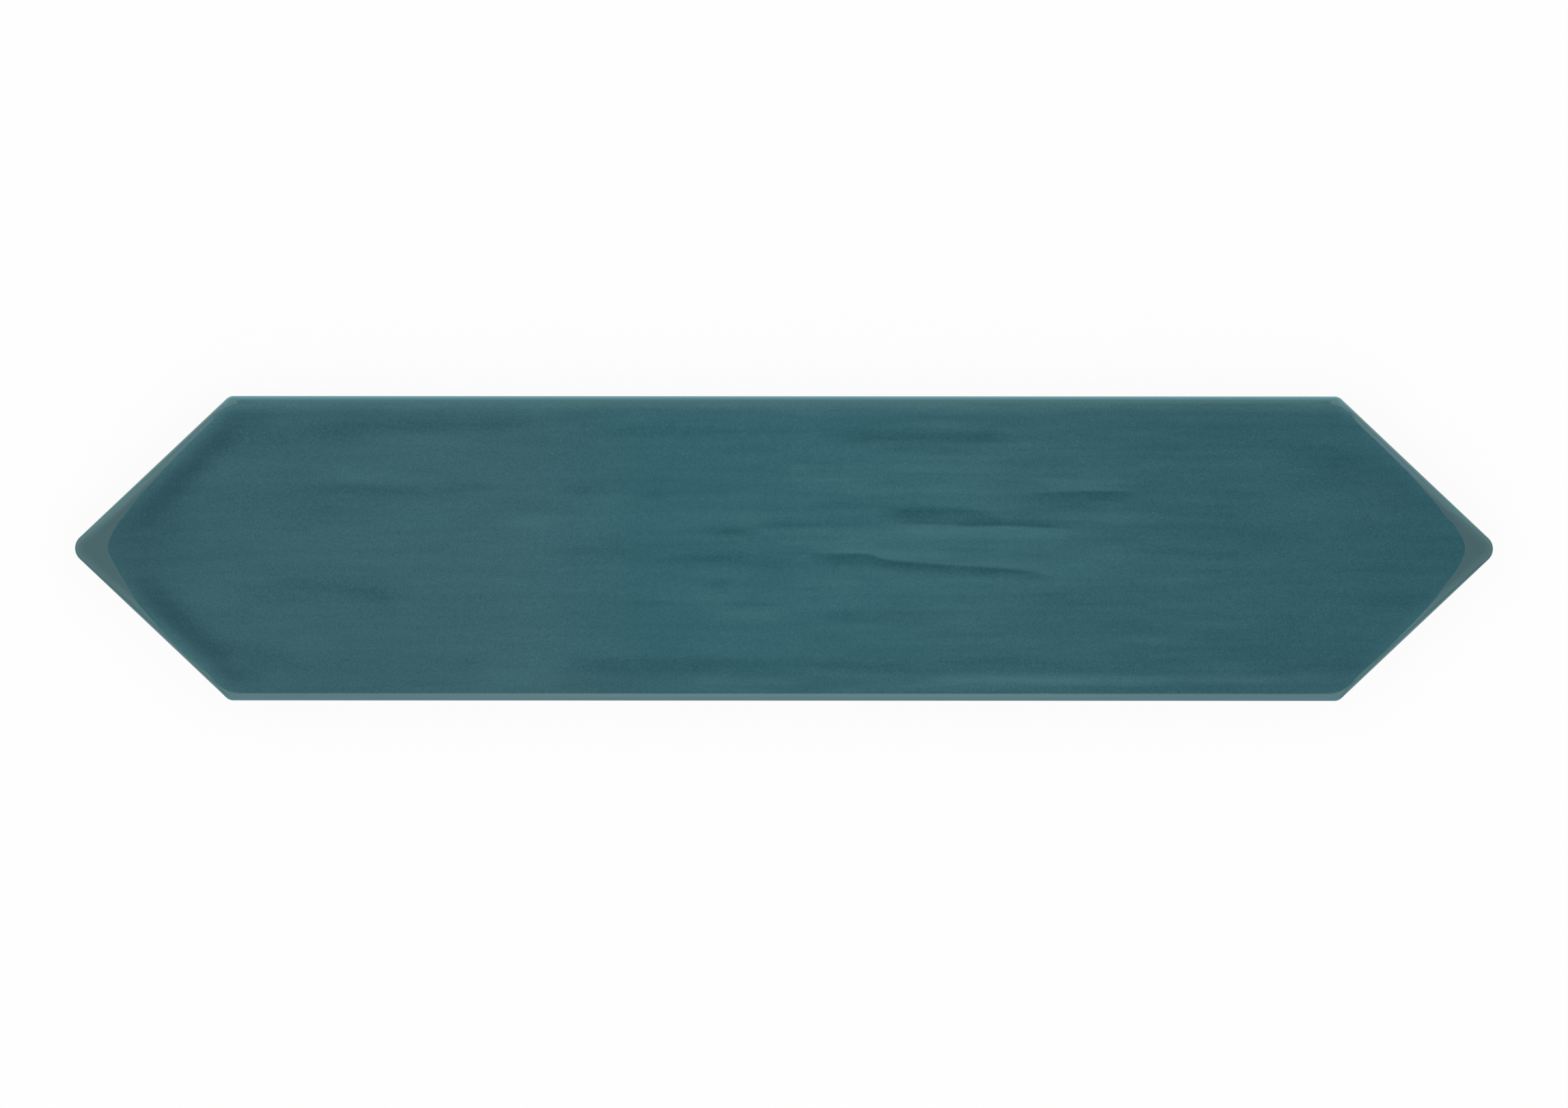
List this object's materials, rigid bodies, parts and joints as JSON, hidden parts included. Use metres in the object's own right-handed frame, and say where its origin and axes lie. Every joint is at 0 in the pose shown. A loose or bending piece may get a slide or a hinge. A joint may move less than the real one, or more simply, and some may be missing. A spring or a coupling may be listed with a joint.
{
  "type": "picket wall tile",
  "caption": "Long hexagonal ceramic wall tile with pointed ends, a rolled edge, a glossy uneven glaze and a keyed back for adhesive.",
  "frame": {"origin": "centre of the back, in the plane the tile lies on", "axes": "+X along the length towards one tip, +Y across the long sides, +Z out of the glazed face"},
  "size_m": [0.3024, 0.065, 0.0085],
  "materials": {
    "glaze": "gloss"
  },
  "bodies": {
    "root": {"tile": "glaze"}
  },
  "joints": []
}
